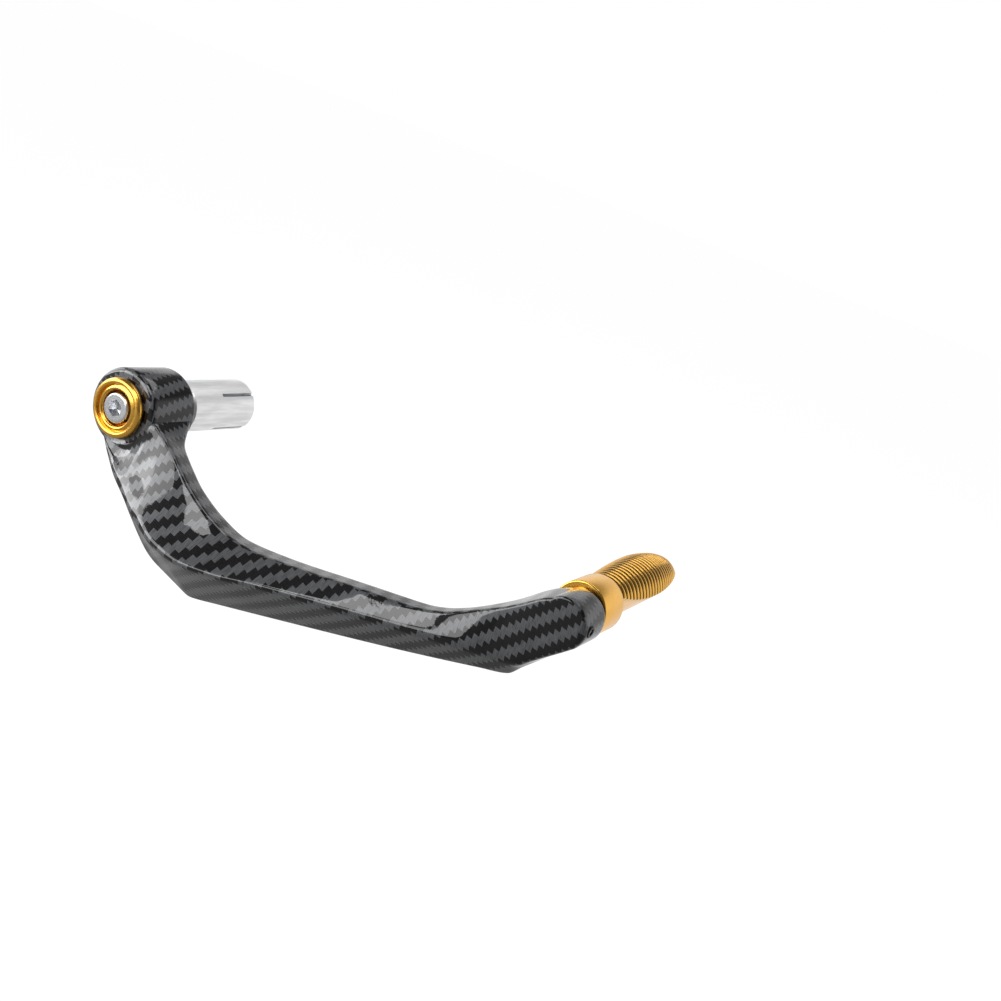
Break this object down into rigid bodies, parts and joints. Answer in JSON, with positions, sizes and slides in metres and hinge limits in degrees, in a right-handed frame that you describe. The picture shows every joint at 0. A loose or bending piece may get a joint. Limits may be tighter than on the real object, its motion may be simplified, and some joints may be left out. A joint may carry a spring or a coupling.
{
  "type": "brake lever guard",
  "caption": "Bar end guard that curves round the tip of a brake lever, with an expanding plug for the bar and a ribbed metal grip on its far end.",
  "frame": {"origin": "on the axis of the expander sleeve, at the end of its full diameter that faces the guard", "axes": "+Y along the sleeve into the handlebar, +X from the bar end toward the guard's tip, the arm bows to -Z"},
  "size_m": [0.1872, 0.0978, 0.0615],
  "materials": {
    "carbon": "glossy clear coat over a dark twill weave",
    "gold": "satin gold anodised",
    "turned_aluminium": "as turned, fine tool marks",
    "zinc": "bright zinc plated",
    "bolt_steel": "bright plated",
    "black_steel": "blackened"
  },
  "bodies": {
    "root": {"guard_arm": "carbon", "cap_washer": "gold", "bar_bolt": "bolt_steel", "expander_sleeve": "turned_aluminium", "cone_nut": "zinc", "tip_grip": "gold", "grip_screw": "black_steel"}
  },
  "joints": []
}
